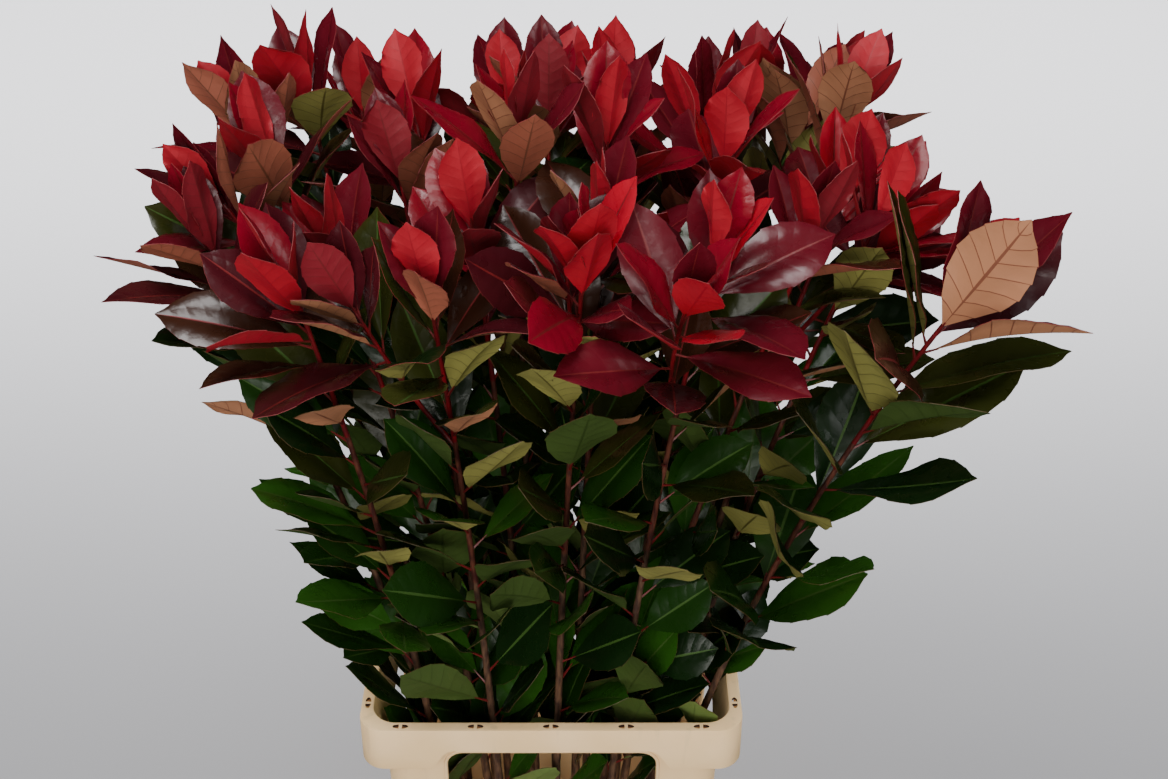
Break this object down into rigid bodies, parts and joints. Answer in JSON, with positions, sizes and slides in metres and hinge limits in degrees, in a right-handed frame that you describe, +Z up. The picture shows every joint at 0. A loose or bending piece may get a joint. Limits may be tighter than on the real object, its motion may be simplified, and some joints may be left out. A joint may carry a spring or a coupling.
{
  "type": "bunch of cut red photinia branches in a florist's crate",
  "caption": "Tall cut evergreen branches with red young leaves and green older ones, standing upright in a cream plastic tub with a windowed collar.",
  "frame": {"origin": "middle of the crate's flat underside", "axes": "+Z up along the branches, -Y the crate's long front side that the picture shows, +X to the right of it"},
  "size_m": [0.896, 0.6551, 1.0937],
  "materials": {
    "plastic": "cream, slightly scuffed, satin",
    "bark": "smooth red-brown bark with small pores",
    "foliage": "glossy leaves, red at the top and green lower down"
  },
  "bodies": {
    "root": {"collar_foot": "plastic", "collar_post_back_left": "plastic", "collar_post_back_right": "plastic", "collar_post_front_left": "plastic", "collar_post_front_right": "plastic", "collar_rim": "plastic", "leaves_back_1": "foliage", "leaves_back_2": "foliage", "leaves_back_3": "foliage", "leaves_back_4": "foliage", "leaves_fourth_1": "foliage", "leaves_fourth_2": "foliage", "leaves_fourth_3": "foliage", "leaves_fourth_4": "foliage", "leaves_fourth_5": "foliage", "leaves_front_1": "foliage", "leaves_front_2": "foliage", "leaves_front_3": "foliage", "leaves_front_4": "foliage", "leaves_front_5": "foliage", "leaves_middle_1": "foliage", "leaves_middle_2": "foliage", "leaves_middle_3": "foliage", "leaves_middle_4": "foliage", "leaves_middle_5": "foliage", "leaves_middle_6": "foliage", "leaves_second_1": "foliage", "leaves_second_2": "foliage", "leaves_second_3": "foliage", "leaves_second_4": "foliage", "leaves_second_5": "foliage", "leaves_second_6": "foliage", "stem_back_1": "bark", "stem_back_2": "bark", "stem_back_3": "bark", "stem_back_4": "bark", "stem_fourth_1": "bark", "stem_fourth_2": "bark", "stem_fourth_3": "bark", "stem_fourth_4": "bark", "stem_fourth_5": "bark", "stem_front_1": "bark", "stem_front_2": "bark", "stem_front_3": "bark", "stem_front_4": "bark", "stem_front_5": "bark", "stem_middle_1": "bark", "stem_middle_2": "bark", "stem_middle_3": "bark", "stem_middle_4": "bark", "stem_middle_5": "bark", "stem_middle_6": "bark", "stem_second_1": "bark", "stem_second_2": "bark", "stem_second_3": "bark", "stem_second_4": "bark", "stem_second_5": "bark", "stem_second_6": "bark", "tub": "plastic"}
  },
  "joints": []
}
